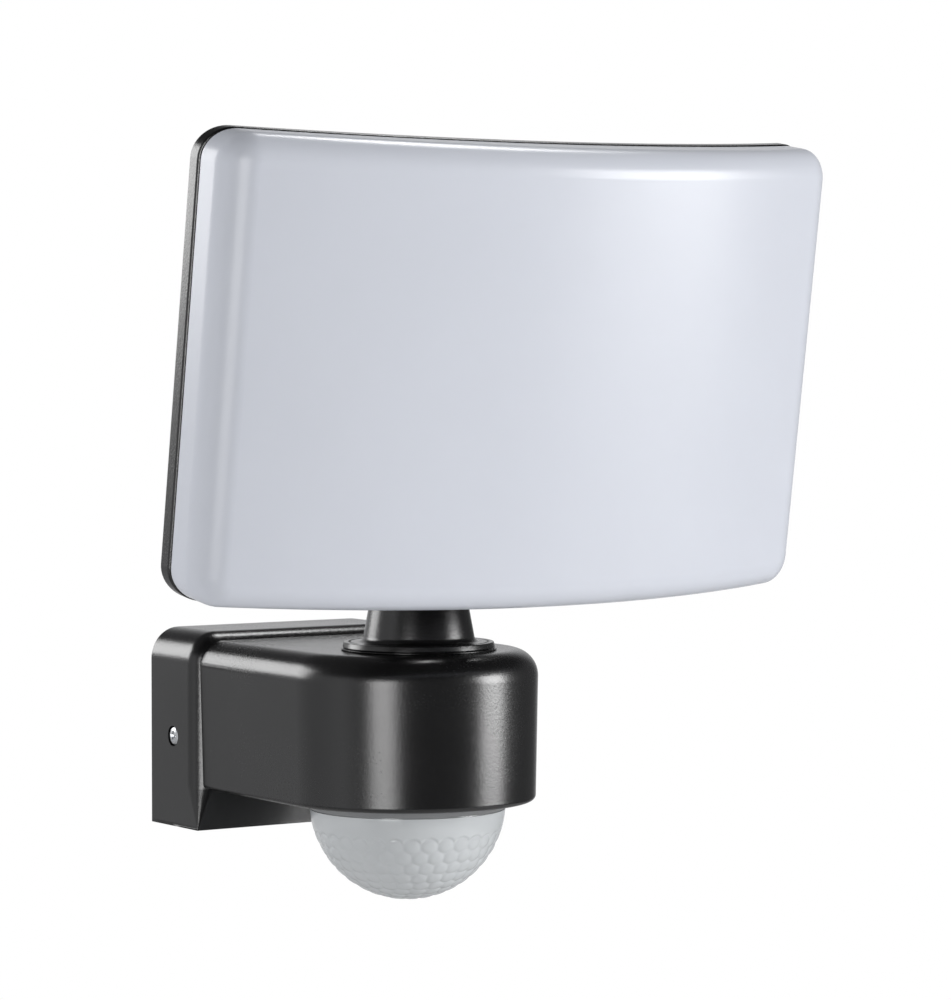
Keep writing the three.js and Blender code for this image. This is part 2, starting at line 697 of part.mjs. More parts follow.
function panelBody(layers) {
  const rings = layers.map((layer) => panelRing(layer.inset, layer.height));
  const cap = [];
  const last = rings[0].length - 1;
  for (let i = 0; i + 1 < rings[0].length / 2; i += 1) {
    cap.push([i, i + 1, last - i - 1], [i, last - i - 1, last - i]);
  }
  return loft(rings, cap);
}

const HEAD_SCREWS = [];
for (const z of [60, -60]) {
  for (const x of [-102, 102]) {
    HEAD_SCREWS.push({ x, z, name: `${z > 0 ? 'top' : 'bottom'}_${x < 0 ? 'left' : 'right'}` });
  }
}
const POD = { half: 42, bottom: -64, top: -1, rear: 33, wall: 2.6 };
const DRIVER_Y = 12.8;        // front of the lamp driver's board, in the pod
const HEAD_ENTRY_Z = -46;

function headBack() {
  let body = panelBody([
    { inset: 0, height: rearY },
    { inset: 0, height: (x) => rearY(x) - RIM_DEPTH },
  ]);
  body = cut(body, panelBody([
    { inset: 3, height: (x) => rearY(x) - 3 },
    { inset: 3, height: (x) => rearY(x) - RIM_DEPTH - 3 },
  ]));
  body = join(body, box(-POD.half, POD.half, -1, POD.rear, POD.bottom, POD.top));
  for (let k = 0; k < 10; k += 1) {
    const x = -54 + 12 * k;
    body = join(body, box(x - 1.2, x + 1.2, rearY(x) - 1, 15, 4, 62));
  }
  for (const side of [-1, 1]) {
    const [x0, x1] = side < 0 ? [-20.3, -11.3] : [11.3, 20.3];
    const arm = new THREE.Shape();
    arm.moveTo(POD.rear - 2, pivot.z - 8);
    arm.lineTo(pivot.y - 3, pivot.z - 11.6);
    arm.absarc(pivot.y, pivot.z, 12, -1.8, 1.8);
    arm.lineTo(POD.rear - 2, pivot.z + 22);
    const geometry = new THREE.ExtrudeGeometry(arm, { depth: x1 - x0, bevelEnabled: false, curveSegments: 10 });
    geometry.applyMatrix4(new THREE.Matrix4().set(0, 0, 1, x0, 1, 0, 0, 0, 0, 1, 0, 0, 0, 0, 0, 1));
    body = join(body, solid(geometry));
  }
  for (const spot of HEAD_SCREWS) {
    body = join(body, cylinderBetween([spot.x, 12.4, spot.z], [spot.x, 19.6, spot.z], 5.5));
    body = cut(
      body,
      cylinderBetween([spot.x, 17, spot.z], [spot.x, 24, spot.z], 3.5),
      cylinderBetween([spot.x, 10, spot.z], [spot.x, 24, spot.z], 1.8),
    );
  }
  const inner = POD.half - POD.wall;
  body = cut(
    body,
    box(-inner, inner, -6, POD.rear - POD.wall, POD.bottom + 3.2, POD.top - 3),
    cylinderBetween([-30, pivot.y, pivot.z], [30, pivot.y, pivot.z], 3.3),
    cylinderBetween([LEAD_X, POD.rear - 9, HEAD_ENTRY_Z], [LEAD_X, POD.rear + 6, HEAD_ENTRY_Z], 2.4),
  );
  for (const [x, z] of [[-32, -53], [32, -53], [-32, -12], [32, -12]]) {
    body = join(body, cylinderBetween([x, DRIVER_Y + 1.9, z], [x, POD.rear - 1, z], 2.6, 16));
  }
  return body;
}

addLeaning('head_back', headBack(), 'blackCasting');

addLeaning('diffuser_gasket', cut(
  panelBody([
    { inset: 0.9, height: (x) => rearY(x) - RIM_DEPTH - 0.15 },
    { inset: 0.9, height: (x) => rearY(x) - RIM_DEPTH - 0.85 },
  ]),
  panelBody([
    { inset: 3.2, height: (x) => rearY(x) - RIM_DEPTH + 1 },
    { inset: 3.2, height: (x) => rearY(x) - RIM_DEPTH - 3 },
  ]),
), 'rubber');

function diffuser() {
  const skin = 2.2;
  const edge = 0.4;
  const front = (step) => (x) => frontY(x) + step.back;
  const outer = panelBody([
    { inset: edge, height: (x) => rearY(x) - RIM_DEPTH - 1 },
    ...edgeSteps(DIFFUSER_EDGE, 5).map((step) => ({ inset: edge + step.inset, height: front(step) })),
  ]);
  const inner = panelBody([
    { inset: edge + skin, height: (x) => rearY(x) - RIM_DEPTH + 1 },
    ...edgeSteps(DIFFUSER_EDGE - skin, 3).map((step) => (
      { inset: edge + skin + step.inset, height: (x) => frontY(x) + skin + step.back }
    )),
  ]);
  let body = cut(outer, inner);
  for (const spot of HEAD_SCREWS) {
    const post = cylinderBetween([spot.x, -18, spot.z], [spot.x, 11.4, spot.z], 4.2);
    body = join(body, post.intersect(outer));
    body = cut(body, cylinderBetween([spot.x, -0.6, spot.z], [spot.x, 14, spot.z], 1.8));
  }
  return body;
}

addLeaning('diffuser', diffuser(), 'opal');

for (const spot of HEAD_SCREWS) {
  addLeaning(`head_screw_${spot.name}`, screw(3.1, 1.9, 1.5, 17, placed(spot.x, 17.3, spot.z, TO_FRONT)), 'steel');
}

for (const [name, x, width] of [['left', -66, 50], ['centre', 0, 60], ['right', 66, 50]]) {
  const slope = x / Math.sqrt(PANEL_RADIUS ** 2 - x ** 2);
  const turn = new THREE.Matrix4().makeRotationZ(Math.atan(slope));
  turn.setPosition(x, rearY(x) - 3, 0);
  const board = geometryOf(box(-width / 2, width / 2, -1.9, -0.4, -55, 55)).applyMatrix4(turn);
  addLeaning(`led_board_${name}`, solid(board), 'whiteBoard');
  const strip = geometryOf(box(-4, 4, -3, -2.2, -50, 50)).applyMatrix4(turn);
  addLeaning(`led_strip_${name}`, solid(strip), 'emitter');
}

// ---------------------------------------------------------------- lamp driver

addLeaning('driver_board', box(-36, 36, DRIVER_Y, DRIVER_Y + 1.6, -57, -8), 'board');
addLeaning('driver_transformer', box(-24, -4, DRIVER_Y + 1.9, DRIVER_Y + 15.7, -44, -24), 'terminal');
addLeaning('driver_capacitor', cylinderBetween(
  [22, DRIVER_Y + 7.6, -44], [22, DRIVER_Y + 7.6, -22], 5.5,
), 'blackPlastic');

const entry = new THREE.Vector3(LEAD_X, POD.rear, HEAD_ENTRY_Z).applyMatrix4(lean);
const inside = new THREE.Vector3(LEAD_X, DRIVER_Y + 5.2, HEAD_ENTRY_Z).applyMatrix4(lean);
add('lead_head', tube([
  [LEAD_X, NECK_Y - LEAD_FORWARD, 75], [LEAD_X, NECK_Y - LEAD_FORWARD - 1.5, 79],
  [LEAD_X, (NECK_Y - LEAD_FORWARD + entry.y) / 2 - 1, entry.z + 0.6], entry.toArray(), inside.toArray(),
], 1.9), 'rubber');

// ---------------------------------------------------------------- tilt bolt

const bolt = join(
  cylinderBetween([-20.8, NECK_Y, PIVOT_Z], [26, NECK_Y, PIVOT_Z], 3),
  cylinderBetween([-24.6, NECK_Y, PIVOT_Z], [-20.6, NECK_Y, PIVOT_Z], 5.4),
);
const key = cylinderBetween([-26, NECK_Y, PIVOT_Z], [-22.4, NECK_Y, PIVOT_Z], 2.9, 6);
add('tilt_bolt', cut(bolt, key), 'steel');
add('tilt_nut', cut(
  cylinderBetween([20.6, NECK_Y, PIVOT_Z], [24.8, NECK_Y, PIVOT_Z], 5.8, 6),
  cylinderBetween([19, NECK_Y, PIVOT_Z], [27, NECK_Y, PIVOT_Z], 3.3),
), 'steel');

export default lamp;
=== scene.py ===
"""Looks of the wall floodlight: detailed meshes, procedural materials, studio light and camera.

Sizes in this script are millimetres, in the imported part's frame: +X sideways, +Y into the wall, +Z up.
They become metres in make_object(). The floor, lights and camera are placed in metres.
"""

import json
import math

import bmesh
import bpy
from mathutils import Matrix, Vector


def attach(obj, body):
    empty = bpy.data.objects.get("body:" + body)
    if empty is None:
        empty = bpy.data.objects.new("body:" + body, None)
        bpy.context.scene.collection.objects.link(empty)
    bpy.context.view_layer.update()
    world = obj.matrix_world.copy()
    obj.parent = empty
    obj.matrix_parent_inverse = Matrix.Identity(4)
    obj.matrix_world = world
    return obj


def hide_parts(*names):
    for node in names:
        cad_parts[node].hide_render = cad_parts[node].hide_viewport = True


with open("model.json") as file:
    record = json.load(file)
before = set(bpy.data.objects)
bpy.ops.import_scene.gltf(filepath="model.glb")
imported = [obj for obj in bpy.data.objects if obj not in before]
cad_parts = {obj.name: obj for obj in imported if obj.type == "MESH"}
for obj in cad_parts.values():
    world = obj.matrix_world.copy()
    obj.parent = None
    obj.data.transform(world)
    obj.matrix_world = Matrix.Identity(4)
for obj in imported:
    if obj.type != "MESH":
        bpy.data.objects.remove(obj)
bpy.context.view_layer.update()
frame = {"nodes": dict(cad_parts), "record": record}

MM = 0.001

# ------------------------------------------------------------------ driving sizes

WALL = 2.6
BOX_HALF, BOX_TOP, BOX_BOTTOM, BOX_FRONT = 45.15, 33.2, -33.2, -31.5
BOX_CORNER, BOX_EDGE = 10.5, 7.0
ARM_HALF, ARM_TOP, ARM_BOTTOM = 43.1, 30.3, -19.6
ARM_TOP_EDGE, ARM_BOTTOM_EDGE, ARM_DRAFT = 9.0, 1.8, 0.9
NOSE_Y, NECK_Y, PIVOT_Z = -91.5, -98.4, 74.0
COVER_TOP = ARM_BOTTOM + 2.2
CLAMP_Y, CLAMP_Z, CLAMP_DEPTH = -14.7, -2.7, 1.6

DOME_RADIUS, DOME_Z, RING_BOTTOM, COLLAR = 32.3, -20.1, -22.1, 31.0

PANEL_WIDTH, PANEL_HEIGHT, PANEL_CORNER = 227.8, 145.0, 10.4
PANEL_RADIUS, PANEL_DEPTH, RIM_DEPTH = 290.9, 22.8, 5.2
PANEL_TILT, PANEL_Y, PANEL_Z = 8.72, -161.9, 121.55
DIFFUSER_EDGE, DIFFUSER_SKIN = 8.9, 2.2

DIALS = {"time": -20.0, "lux": 0.0, "range": 20.0}
DIAL_Y = -45.0
COVER_SCREW_X, COVER_SCREW_Y = 34.6, -60.0
HEAD_SCREW_X, HEAD_SCREW_Z = 102.0, 60.0
BOARD_TOP = -14.6
SEAT_TOP = ARM_TOP + 0.65
FLANGE_TOP = 33.0

lean = Matrix.Translation((0, PANEL_Y, PANEL_Z)) @ Matrix.Rotation(math.radians(PANEL_TILT), 4, "X")
pivot = lean.inverted() @ Vector((0, NECK_Y, PIVOT_Z))


# ------------------------------------------------------------------ mesh helpers

def make_object(name, points, faces):
    mesh = bpy.data.meshes.new(name)
    mesh.from_pydata([Vector(p) * MM for p in points], [], faces)
    mesh.validate()
    piece = bpy.data.objects.new(name, mesh)
    bpy.context.scene.collection.objects.link(piece)
    face_outwards(piece)
    return piece


def face_outwards(piece):
    mesh = piece.data
    mesh.calc_loop_triangles()
    volume = 0.0
    for tri in mesh.loop_triangles:
        a, b, c = (mesh.vertices[i].co for i in tri.vertices)
        volume += a.dot(b.cross(c))
    if volume < 0:
        mesh.flip_normals()


def loft(name, rings, cap="fan"):
    """Joins closed rings of equal length. Each end is one polygon, or strips for the curved panel."""
    count = len(rings[0])
    points = [p for ring in rings for p in ring]
    faces = []
    for k in range(len(rings) - 1):
        for i in range(count):
            j = (i + 1) % count
            faces.append((k * count + i, k * count + j, (k + 1) * count + j, (k + 1) * count + i))
    last = count - 1
    if cap == "fan":
        ends = [tuple(range(count))]
    else:
        ends = [(i, i + 1, last - i - 1, last - i) for i in range(count // 2 - 1)]
    top = (len(rings) - 1) * count
    faces += [tuple(reversed(end)) for end in ends]
    faces += [tuple(top + i for i in end) for end in ends]
    return make_object(name, points, faces)


def lathe(name, profile, centre=(0, 0, 0), segments=128, axis="Z"):
    """Turns [radius, height] points about an axis. A profile that leaves the axis is closed on itself."""
    closed = profile[0][0] > 1e-6
    points, rows = [], []
    for radius, height in profile:
        if radius < 1e-6:
            rows.append([len(points)] * segments)
            points.append((0.0, 0.0, height))
            continue
        rows.append(list(range(len(points), len(points) + segments)))
        for k in range(segments):
            angle = 2 * math.pi * k / segments
            points.append((radius * math.cos(angle), radius * math.sin(angle), height))
    faces = []
    pairs = list(zip(rows, rows[1:])) + ([(rows[-1], rows[0])] if closed else [])
    for low, high in pairs:
        for k in range(segments):
            j = (k + 1) % segments
            corner = []
            for index in (low[k], low[j], high[j], high[k]):
                if index not in corner:
                    corner.append(index)
            if len(corner) > 2:
                faces.append(tuple(corner))
    right_angle = math.pi / 2
    turn = {
        "X": Matrix.Rotation(right_angle, 4, "Y"),
        "Y": Matrix.Rotation(right_angle, 4, "X"),
        "Z": Matrix(),
    }[axis]
    place = Matrix.Translation(centre) @ turn
    return make_object(name, [place @ Vector(p) for p in points], faces)


def rounded_box(name, low, high, radius, steps=4):
    """A block whose upright edges and whose top and bottom rims are rounded."""
    rings = []
    centre = [(a + b) / 2 for a, b in zip(low, high)]
    half = [(b - a) / 2 for a, b in zip(low, high)]

    def ring(inset, z):
        corner = max(radius - inset, radius * 0.15)
        points = []
        for quarter, (sx, sy) in enumerate(((1, 1), (-1, 1), (-1, -1), (1, -1))):
            for k in range(steps + 1):
                angle = (quarter + k / steps) * math.pi / 2
                x = centre[0] + sx * (half[0] - inset - corner) + corner * math.cos(angle)
                y = centre[1] + sy * (half[1] - inset - corner) + corner * math.sin(angle)
                points.append((x, y, z))
        return points

    for inset, back in reversed(edge_steps(radius, steps)):
        rings.append(ring(inset, low[2] + back))
    for inset, back in edge_steps(radius, steps):
        rings.append(ring(inset, high[2] - back))
    return loft(name, rings)


def edge_steps(radius, steps):
    """Inset and offset, step by step, round a quarter circle."""
    angles = [k / steps * math.pi / 2 for k in range(steps + 1)]
    return [(radius * (1 - math.cos(a)), radius * (1 - math.sin(a))) for a in angles]


def rod(name, start, end, radius, segments=48):
    start, end = Vector(start), Vector(end)
    along = end - start
    turn = along.to_track_quat("Z", "Y").to_matrix().to_4x4()
    piece = lathe(name, [(0, 0), (radius, 0), (radius, along.length), (0, along.length)], segments=segments)
    piece.data.transform(Matrix.Translation(start * MM) @ turn)
    return piece


def combine(target, tool, operation):
    modifier = target.modifiers.new("combine", "BOOLEAN")
    modifier.operation = operation
    modifier.solver = "EXACT"
    modifier.object = tool
    apply_modifiers(target)
    mesh = tool.data
    bpy.data.objects.remove(tool)
    bpy.data.meshes.remove(mesh)
    return target


def add_to(target, *tools):
    for tool in tools:
        combine(target, tool, "UNION")
    return target


def cut_from(target, *tools):
    for tool in tools:
        combine(target, tool, "DIFFERENCE")
    return target


def weld(piece):
    """Merges points a few thousandths of a millimetre apart, which exact cuts leave behind."""
    work = bmesh.new()
    work.from_mesh(piece.data)
    bmesh.ops.remove_doubles(work, verts=work.verts, dist=0.004 * MM)
    bmesh.ops.dissolve_degenerate(work, edges=work.edges, dist=0.002 * MM)
    work.to_mesh(piece.data)
    work.free()


def apply_modifiers(piece):
    graph = bpy.context.evaluated_depsgraph_get()
    graph.update()
    mesh = bpy.data.meshes.new_from_object(piece.evaluated_get(graph))
    old = piece.data
    piece.modifiers.clear()
    piece.data = mesh
    bpy.data.meshes.remove(old)


def soften(piece, width=0.3, angle=32, segments=2):
    """Rounds the crisp edges by a fraction of a millimetre and evens the shading of flat faces."""
    weld(piece)
    if width:
        bevel = piece.modifiers.new("edge", "BEVEL")
        bevel.width = width * MM
        bevel.segments = segments
        bevel.limit_method = "ANGLE"
        bevel.angle_limit = math.radians(angle)
        bevel.harden_normals = False
        apply_modifiers(piece)
    shade(piece)


def shade(piece, angle=34):
    piece.data.shade_smooth()
    piece.data.set_sharp_from_angle(angle=math.radians(angle))
    even = piece.modifiers.new("even", "WEIGHTED_NORMAL")
    even.keep_sharp = True
    even.weight = 60


def finish(piece, body, slot, material, *nodes):
    piece.data.materials.clear()
    piece.data.materials.append(material)
    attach(piece, body)
    if nodes:
        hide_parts(*nodes)
    return piece


# ------------------------------------------------------------------ materials

def moulded(name, colour, rough, grain_mm=0.5, grain=0.25, mottle=0.12,
            metal=0.0, shine=0.5, soft=0.0, smudge=0.06):
    """One surface: fine grain as bump, slow drifts of tone, and roughness that varies as if handled."""
    material = bpy.data.materials.new(name)
    material.use_nodes = True
    nodes, links = material.node_tree.nodes, material.node_tree.links
    shader = nodes["Principled BSDF"]
    shader.inputs["Metallic"].default_value = metal
    shader.inputs["Specular IOR Level"].default_value = shine
    if soft:
        shader.inputs["Subsurface Weight"].default_value = soft
        shader.inputs["Subsurface Radius"].default_value = (0.004, 0.004, 0.0045)
        shader.inputs["Subsurface Scale"].default_value = 1.0

    place = nodes.new("ShaderNodeTexCoord")
    fine = nodes.new("ShaderNodeTexNoise")
    fine.inputs["Scale"].default_value = 1.0 / (grain_mm * MM)
    fine.inputs["Detail"].default_value = 3.0
    fine.inputs["Roughness"].default_value = 0.6
    links.new(place.outputs["Object"], fine.inputs["Vector"])

    slow = nodes.new("ShaderNodeTexNoise")
    slow.inputs["Scale"].default_value = 28.0
    slow.inputs["Detail"].default_value = 4.0
    links.new(place.outputs["Object"], slow.inputs["Vector"])

    tone = nodes.new("ShaderNodeValToRGB")
    low = [c * (1 - mottle) for c in colour]
    high = [min(1.0, c * (1 + mottle)) for c in colour]
    tone.color_ramp.elements[0].position = 0.3
    tone.color_ramp.elements[0].color = (*low, 1)
    tone.color_ramp.elements[1].position = 0.7
    tone.color_ramp.elements[1].color = (*high, 1)
    links.new(slow.outputs["Fac"], tone.inputs["Fac"])
    links.new(tone.outputs["Color"], shader.inputs["Base Color"])

    blend = nodes.new("ShaderNodeMath")
    blend.operation = "MULTIPLY"
    links.new(slow.outputs["Fac"], blend.inputs[0])
    links.new(fine.outputs["Fac"], blend.inputs[1])
    spread = nodes.new("ShaderNodeMapRange")
    spread.inputs["From Min"].default_value = 0.1
    spread.inputs["From Max"].default_value = 0.45
    spread.inputs["To Min"].default_value = max(0.02, rough - smudge)
    spread.inputs["To Max"].default_value = rough + smudge
    links.new(blend.outputs["Value"], spread.inputs["Value"])
    links.new(spread.outputs["Result"], shader.inputs["Roughness"])

    bump = nodes.new("ShaderNodeBump")
    bump.inputs["Strength"].default_value = grain
    bump.inputs["Distance"].default_value = 0.06 * grain_mm * MM
    links.new(fine.outputs["Fac"], bump.inputs["Height"])
    links.new(bump.outputs["Normal"], shader.inputs["Normal"])
    return material


def turned_metal(name, colour, rough, pitch_mm=0.25):
    """Bright metal with faint tool rings and a brushed drift of tone."""
    material = moulded(name, colour, rough, grain_mm=pitch_mm, grain=0.35, mottle=0.08, metal=1.0, smudge=0.1)
    nodes, links = material.node_tree.nodes, material.node_tree.links
    stretch = nodes.new("ShaderNodeMapping")
    stretch.inputs["Scale"].default_value = (1.0, 1.0, 0.12)
    place = nodes["Texture Coordinate"]
    fine = nodes["Noise Texture"]
    links.new(place.outputs["Object"], stretch.inputs["Vector"])
    links.new(stretch.outputs["Vector"], fine.inputs["Vector"])
    return material


def circuit_board():
    """Green solder mask over a copper track pattern."""
    material = moulded("circuit_board", (0.02, 0.11, 0.045), 0.42, grain_mm=1.4, grain=0.2)
    nodes, links = material.node_tree.nodes, material.node_tree.links
    shader = nodes["Principled BSDF"]
    place = nodes["Texture Coordinate"]
    tracks = nodes.new("ShaderNodeTexBrick")
    tracks.inputs["Scale"].default_value = 160.0
    tracks.inputs["Color1"].default_value = (0.02, 0.11, 0.045, 1)
    tracks.inputs["Color2"].default_value = (0.03, 0.17, 0.07, 1)
    tracks.inputs["Mortar"].default_value = (0.012, 0.07, 0.03, 1)
    tracks.inputs["Mortar Size"].default_value = 0.03
    links.new(place.outputs["Object"], tracks.inputs["Vector"])
    links.new(tracks.outputs["Color"], shader.inputs["Base Color"])
    return material


black_casting = moulded("black_casting", (0.005, 0.005, 0.0053), 0.25, grain_mm=0.75, grain=0.8,
                        shine=0.64, smudge=0.04)
black_plastic = moulded("black_plastic", (0.012, 0.012, 0.013), 0.52, grain_mm=0.6, grain=0.8)
rubber = moulded("rubber", (0.01, 0.01, 0.01), 0.72, grain_mm=0.5, grain=0.5, mottle=0.2)
lead_sheath = moulded("lead_sheath", (0.014, 0.014, 0.014), 0.5, grain_mm=0.8, grain=0.4)
opal = moulded("opal_diffuser", (0.595, 0.617, 0.677), 0.26, grain_mm=0.6, grain=0.005, mottle=0.008,
               shine=0.3, soft=0.1, smudge=0.006)
lens = moulded("sensor_lens", (0.51, 0.53, 0.545), 0.17, grain_mm=0.6, grain=0.01, mottle=0.02,
               shine=0.7, soft=0.05, smudge=0.01)
grey_plastic = moulded("grey_plastic", (0.19, 0.195, 0.2), 0.42, grain_mm=0.5, grain=0.3)
steel = turned_metal("steel", (0.6, 0.61, 0.63), 0.3)
brass = turned_metal("brass", (0.66, 0.47, 0.18), 0.26)
board = circuit_board()
led_board = moulded("led_board", (0.78, 0.79, 0.77), 0.45, grain_mm=1.0, grain=0.2)
phosphor = moulded("led_phosphor", (0.82, 0.56, 0.08), 0.4, grain_mm=1.5, grain=0.4, soft=0.2)
terminal_plastic = moulded("terminal_plastic", (0.6, 0.58, 0.5), 0.42, grain_mm=0.6, grain=0.4)
relay_plastic = moulded("relay_plastic", (0.02, 0.07, 0.24), 0.3, grain_mm=0.6, grain=0.3)
capacitor_case = moulded("capacitor_case", (0.22, 0.03, 0.02), 0.3, grain_mm=0.9, grain=0.3)

BY_SLOT = {
    "black_casting": black_casting,
    "black_plastic": black_plastic,
    "rubber": rubber,
    "lead_sheath": lead_sheath,
    "opal_diffuser": opal,
    "sensor_lens": lens,
    "grey_plastic": grey_plastic,
    "steel": steel,
    "brass": brass,
    "circuit_board": board,
    "led_board": led_board,
    "led_phosphor": phosphor,
    "terminal_plastic": terminal_plastic,
    "relay_plastic": relay_plastic,
    "capacitor_case": capacitor_case,
}


# ------------------------------------------------------------------ arm housing

def box_outline(inset, edge=0.0, angle=0.0, steps=14):
    """Box section seen from the front, as (x, z, set-back). The side rounding fades out below the arm."""
    half, top, bottom = BOX_HALF - inset, BOX_TOP - inset, BOX_BOTTOM
    corner = BOX_CORNER - inset
    gone, sunk = 1 - math.cos(angle), 1 - math.sin(angle)
    side = []
    levels = 12
    for k in range(levels + 1):
        z = bottom + (ARM_BOTTOM + 1 - bottom) * k / levels
        local = edge * k / levels
        side.append((half - local * gone, z, local * sunk))
    right = list(side)
    for k in range(steps + 1):
        turn = k / steps * math.pi / 2
        radius = max(corner - edge * gone, 0.4)
        right.append((
            half - corner + radius * math.cos(turn),
            top - corner + radius * math.sin(turn),
            edge * sunk,
        ))
    return right + [(-x, z, back) for x, z, back in reversed(right)]


def box_shell():
    rings = [[(x, 0.0, z) for x, z, _ in box_outline(0)]]
    for k in range(11):
        angle = k / 10 * math.pi / 2
        rings.append([(x, BOX_FRONT + back, z) for x, z, back in box_outline(0, BOX_EDGE, angle)])
    return loft("base_housing_body", rings)


def arm_outline(inset, root, steps=72):
    radius = ARM_HALF - inset
    points = [(radius, root), (-radius, root)]
    for k in range(steps + 1):
        angle = math.pi + k / steps * math.pi
        points.append((radius * math.cos(angle), NOSE_Y + radius * math.sin(angle)))
    return points


def arm_shell(name, inset, root, bottom, top, bottom_edge, top_edge, draft=0.0):
    rings = []

    def put(extra, z):
        shrink = draft * (top - z) / (top - bottom)
        rings.append([(x, y, z) for x, y in arm_outline(inset + extra + shrink, root)])

    for extra, back in reversed(edge_steps(bottom_edge, 8)):
        put(extra, bottom + back)
    for extra, back in edge_steps(top_edge, 14):
        put(extra, top - back)
    return loft(name, rings)


def cover_screw_rod(name, side, low, high, radius, segments):
    """An upright rod on a cover screw's axis."""
    x = side * COVER_SCREW_X
    return rod(name, (x, COVER_SCREW_Y, low), (x, COVER_SCREW_Y, high), radius, segments)


def base_housing():
    housing = box_shell()
    arm = arm_shell("arm", 0, -12, ARM_BOTTOM, ARM_TOP, ARM_BOTTOM_EDGE, ARM_TOP_EDGE, ARM_DRAFT)
    add_to(housing, arm)
    roof = ARM_TOP - WALL
    inner = BOX_HALF - WALL
    cut_from(
        housing,
        arm_shell("room", WALL + ARM_DRAFT, BOX_FRONT - 0.3, ARM_BOTTOM - 4, roof, 0.4, 6),
        rounded_box("box_room", (-inner, BOX_FRONT + WALL, BOX_BOTTOM + WALL), (inner, 6, BOX_TOP - WALL), 3),
        rounded_box("passage", (-36, -38, -14), (36, -24, 24), 1.5),
        rod("shank_hole", (0, NECK_Y, roof - 8), (0, NECK_Y, ARM_TOP + 3), 12.3, 64),
    )
    for side in (-1, 1):
        face = side * BOX_HALF
        outside = (face + side * 3, CLAMP_Y, CLAMP_Z)
        cut_from(
            housing,
            rod("recess", (face - side * CLAMP_DEPTH, CLAMP_Y, CLAMP_Z), outside, 3.45),
            rod("hole", (face - side * 6, CLAMP_Y, CLAMP_Z), outside, 1.8, 32),
        )
    for side in (-1, 1):
        add_to(housing, cover_screw_rod("boss", side, COVER_TOP + 0.4, roof + 1, 3.6, 32))
        cut_from(housing, cover_screw_rod("pilot", side, COVER_TOP, COVER_TOP + 13, 1.8, 24))
    soften(housing, 0.25, angle=50)
    return finish(housing, "base", "black_casting", black_casting, "base_housing")


# ------------------------------------------------------------------ screws

def pan_head(name, head, height, shaft, length, place, cross=0.62):
    """A domed screw head with a tapered cross recess, a washer face and a pointed plain shaft, along +Z."""
    crown = [
        (head * math.sin(a), -height + height * 0.5 * (1 - math.cos(a)))
        for a in [k / 8 * math.pi / 2 for k in range(9)]
    ]
    profile = crown + [
        (head, -height * 0.12), (head - 0.1, 0), (shaft + 0.15, 0), (shaft, 0.2),
        (shaft, length - 0.8), (shaft - 0.6, length), (0, length),
    ]
    screw = lathe(name, profile, segments=64)
    arm = head * cross
    for turn in (0, math.pi / 2):
        wedge = []
        for z, reach, half in ((-height - 0.4, arm * 1.2, 0.5), (-height * 0.2, arm * 0.6, 0.3)):
            wedge.append([(reach, half, z), (-reach, half, z), (-reach, -half, z), (reach, -half, z)])
        tool = loft("cross", wedge)
        tool.data.transform(Matrix.Rotation(turn + 0.12, 4, "Z"))
        cut_from(screw, tool)
    screw.data.transform(Matrix.Translation(place.translation * MM) @ place.to_3x3().to_4x4())
    shade(screw, 28)
    return screw


def placed(x, y, z, axis="X", degrees=0.0):
    return Matrix.Translation((x, y, z)) @ Matrix.Rotation(math.radians(degrees), 4, axis)


def all_screws():
    for side, name in ((-1, "left"), (1, "right")):
        spot = placed(side * (BOX_HALF - CLAMP_DEPTH + 0.3), CLAMP_Y, CLAMP_Z, "Y", -90 * side)
        screw = pan_head(f"clamp_screw_{name}_head", 3.0, 1.35, 1.5, 8.2, spot)
        finish(screw, "base", "steel", steel, f"clamp_screw_{name}")
        spot = placed(side * COVER_SCREW_X, COVER_SCREW_Y, ARM_BOTTOM + 0.9)
        screw = pan_head(f"cover_screw_{name}_head", 3.0, 1.05, 1.5, 10.8, spot)
        finish(screw, "base", "steel", steel, f"cover_screw_{name}")
    for z, level in ((HEAD_SCREW_Z, "top"), (-HEAD_SCREW_Z, "bottom")):
        for x, side in ((-HEAD_SCREW_X, "left"), (HEAD_SCREW_X, "right")):
            spot = lean @ placed(x, 17.3, z, "X", 90)
            name = f"head_screw_{level}_{side}"
            screw = pan_head(f"{name}_head", 3.1, 1.85, 1.5, 16.8, spot)
            finish(screw, "head", "steel", steel, name)


# ------------------------------------------------------------------ sensor

HEX_ROWS = [  # latitude below the dome's equator in degrees, lens cells round it
    (21.1, 33), (29.3, 33), (37.4, 33), (45.8, 27), (53.8, 23), (61.6, 18), (69.2, 13), (76.6, 8), (84.2, 4),
]
CELL_TOP = 16.4
CELL_DEPTH = 0.36


def lens_relief(latitude, longitude):
    """How far a lens cell's surface sinks at this place, in mm: nothing at its middle, most at its border."""
    best = 99.0
    for k, (row, count) in enumerate(HEX_ROWS):
        if abs(row - latitude) > 11:
            continue
        pitch = 360.0 / count
        shift = pitch / 2 if k % 2 else 0.0
        off = (longitude - shift + pitch / 2) % pitch - pitch / 2
        best = min(best, math.hypot((latitude - row) * 1.06, off * math.cos(math.radians(latitude))))
    above = HEX_ROWS[0][0] - latitude
    if best > 5.0 and above > 0:
        return CELL_DEPTH * max(0.0, 1 - (best - 5.0) / 1.2)
    return CELL_DEPTH * min(1.0, best / 5.0) ** 3


